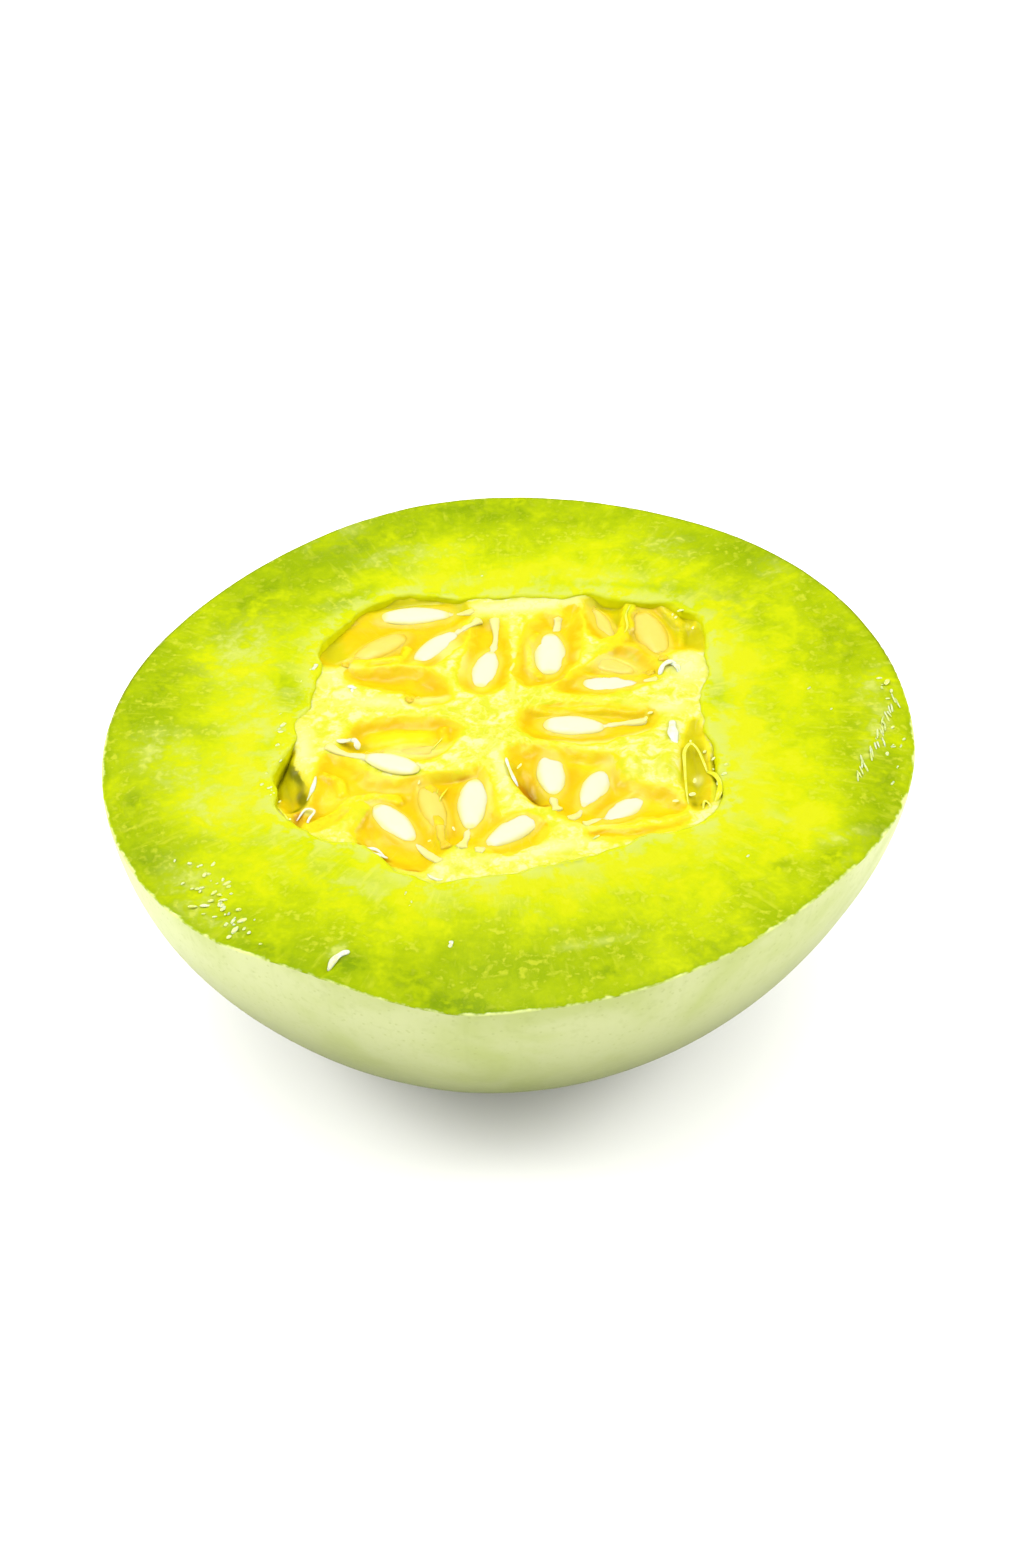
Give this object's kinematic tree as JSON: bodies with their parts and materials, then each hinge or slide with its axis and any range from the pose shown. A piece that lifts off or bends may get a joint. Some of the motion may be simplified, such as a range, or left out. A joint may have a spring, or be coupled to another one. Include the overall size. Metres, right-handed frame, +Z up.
{
  "type": "korean melon half",
  "caption": "Half of a small round melon, cut across, lying on its pale rind with the green cut face up and a seed core in its cavity.",
  "frame": {"origin": "centre of the small flat spot on the rind that the half rests on", "axes": "+Z is up, out of the cut face; +X is to the right and +Y is away for someone who faces the cut"},
  "size_m": [0.1021, 0.0997, 0.0434],
  "materials": {
    "flesh": "moist, soft green flesh under a smooth greenish white rind",
    "core": "wet, pale yellow fibre with orange gel and cream seeds"
  },
  "bodies": {
    "root": {"flesh_with_rind": "flesh", "seed_core": "core"}
  },
  "joints": []
}
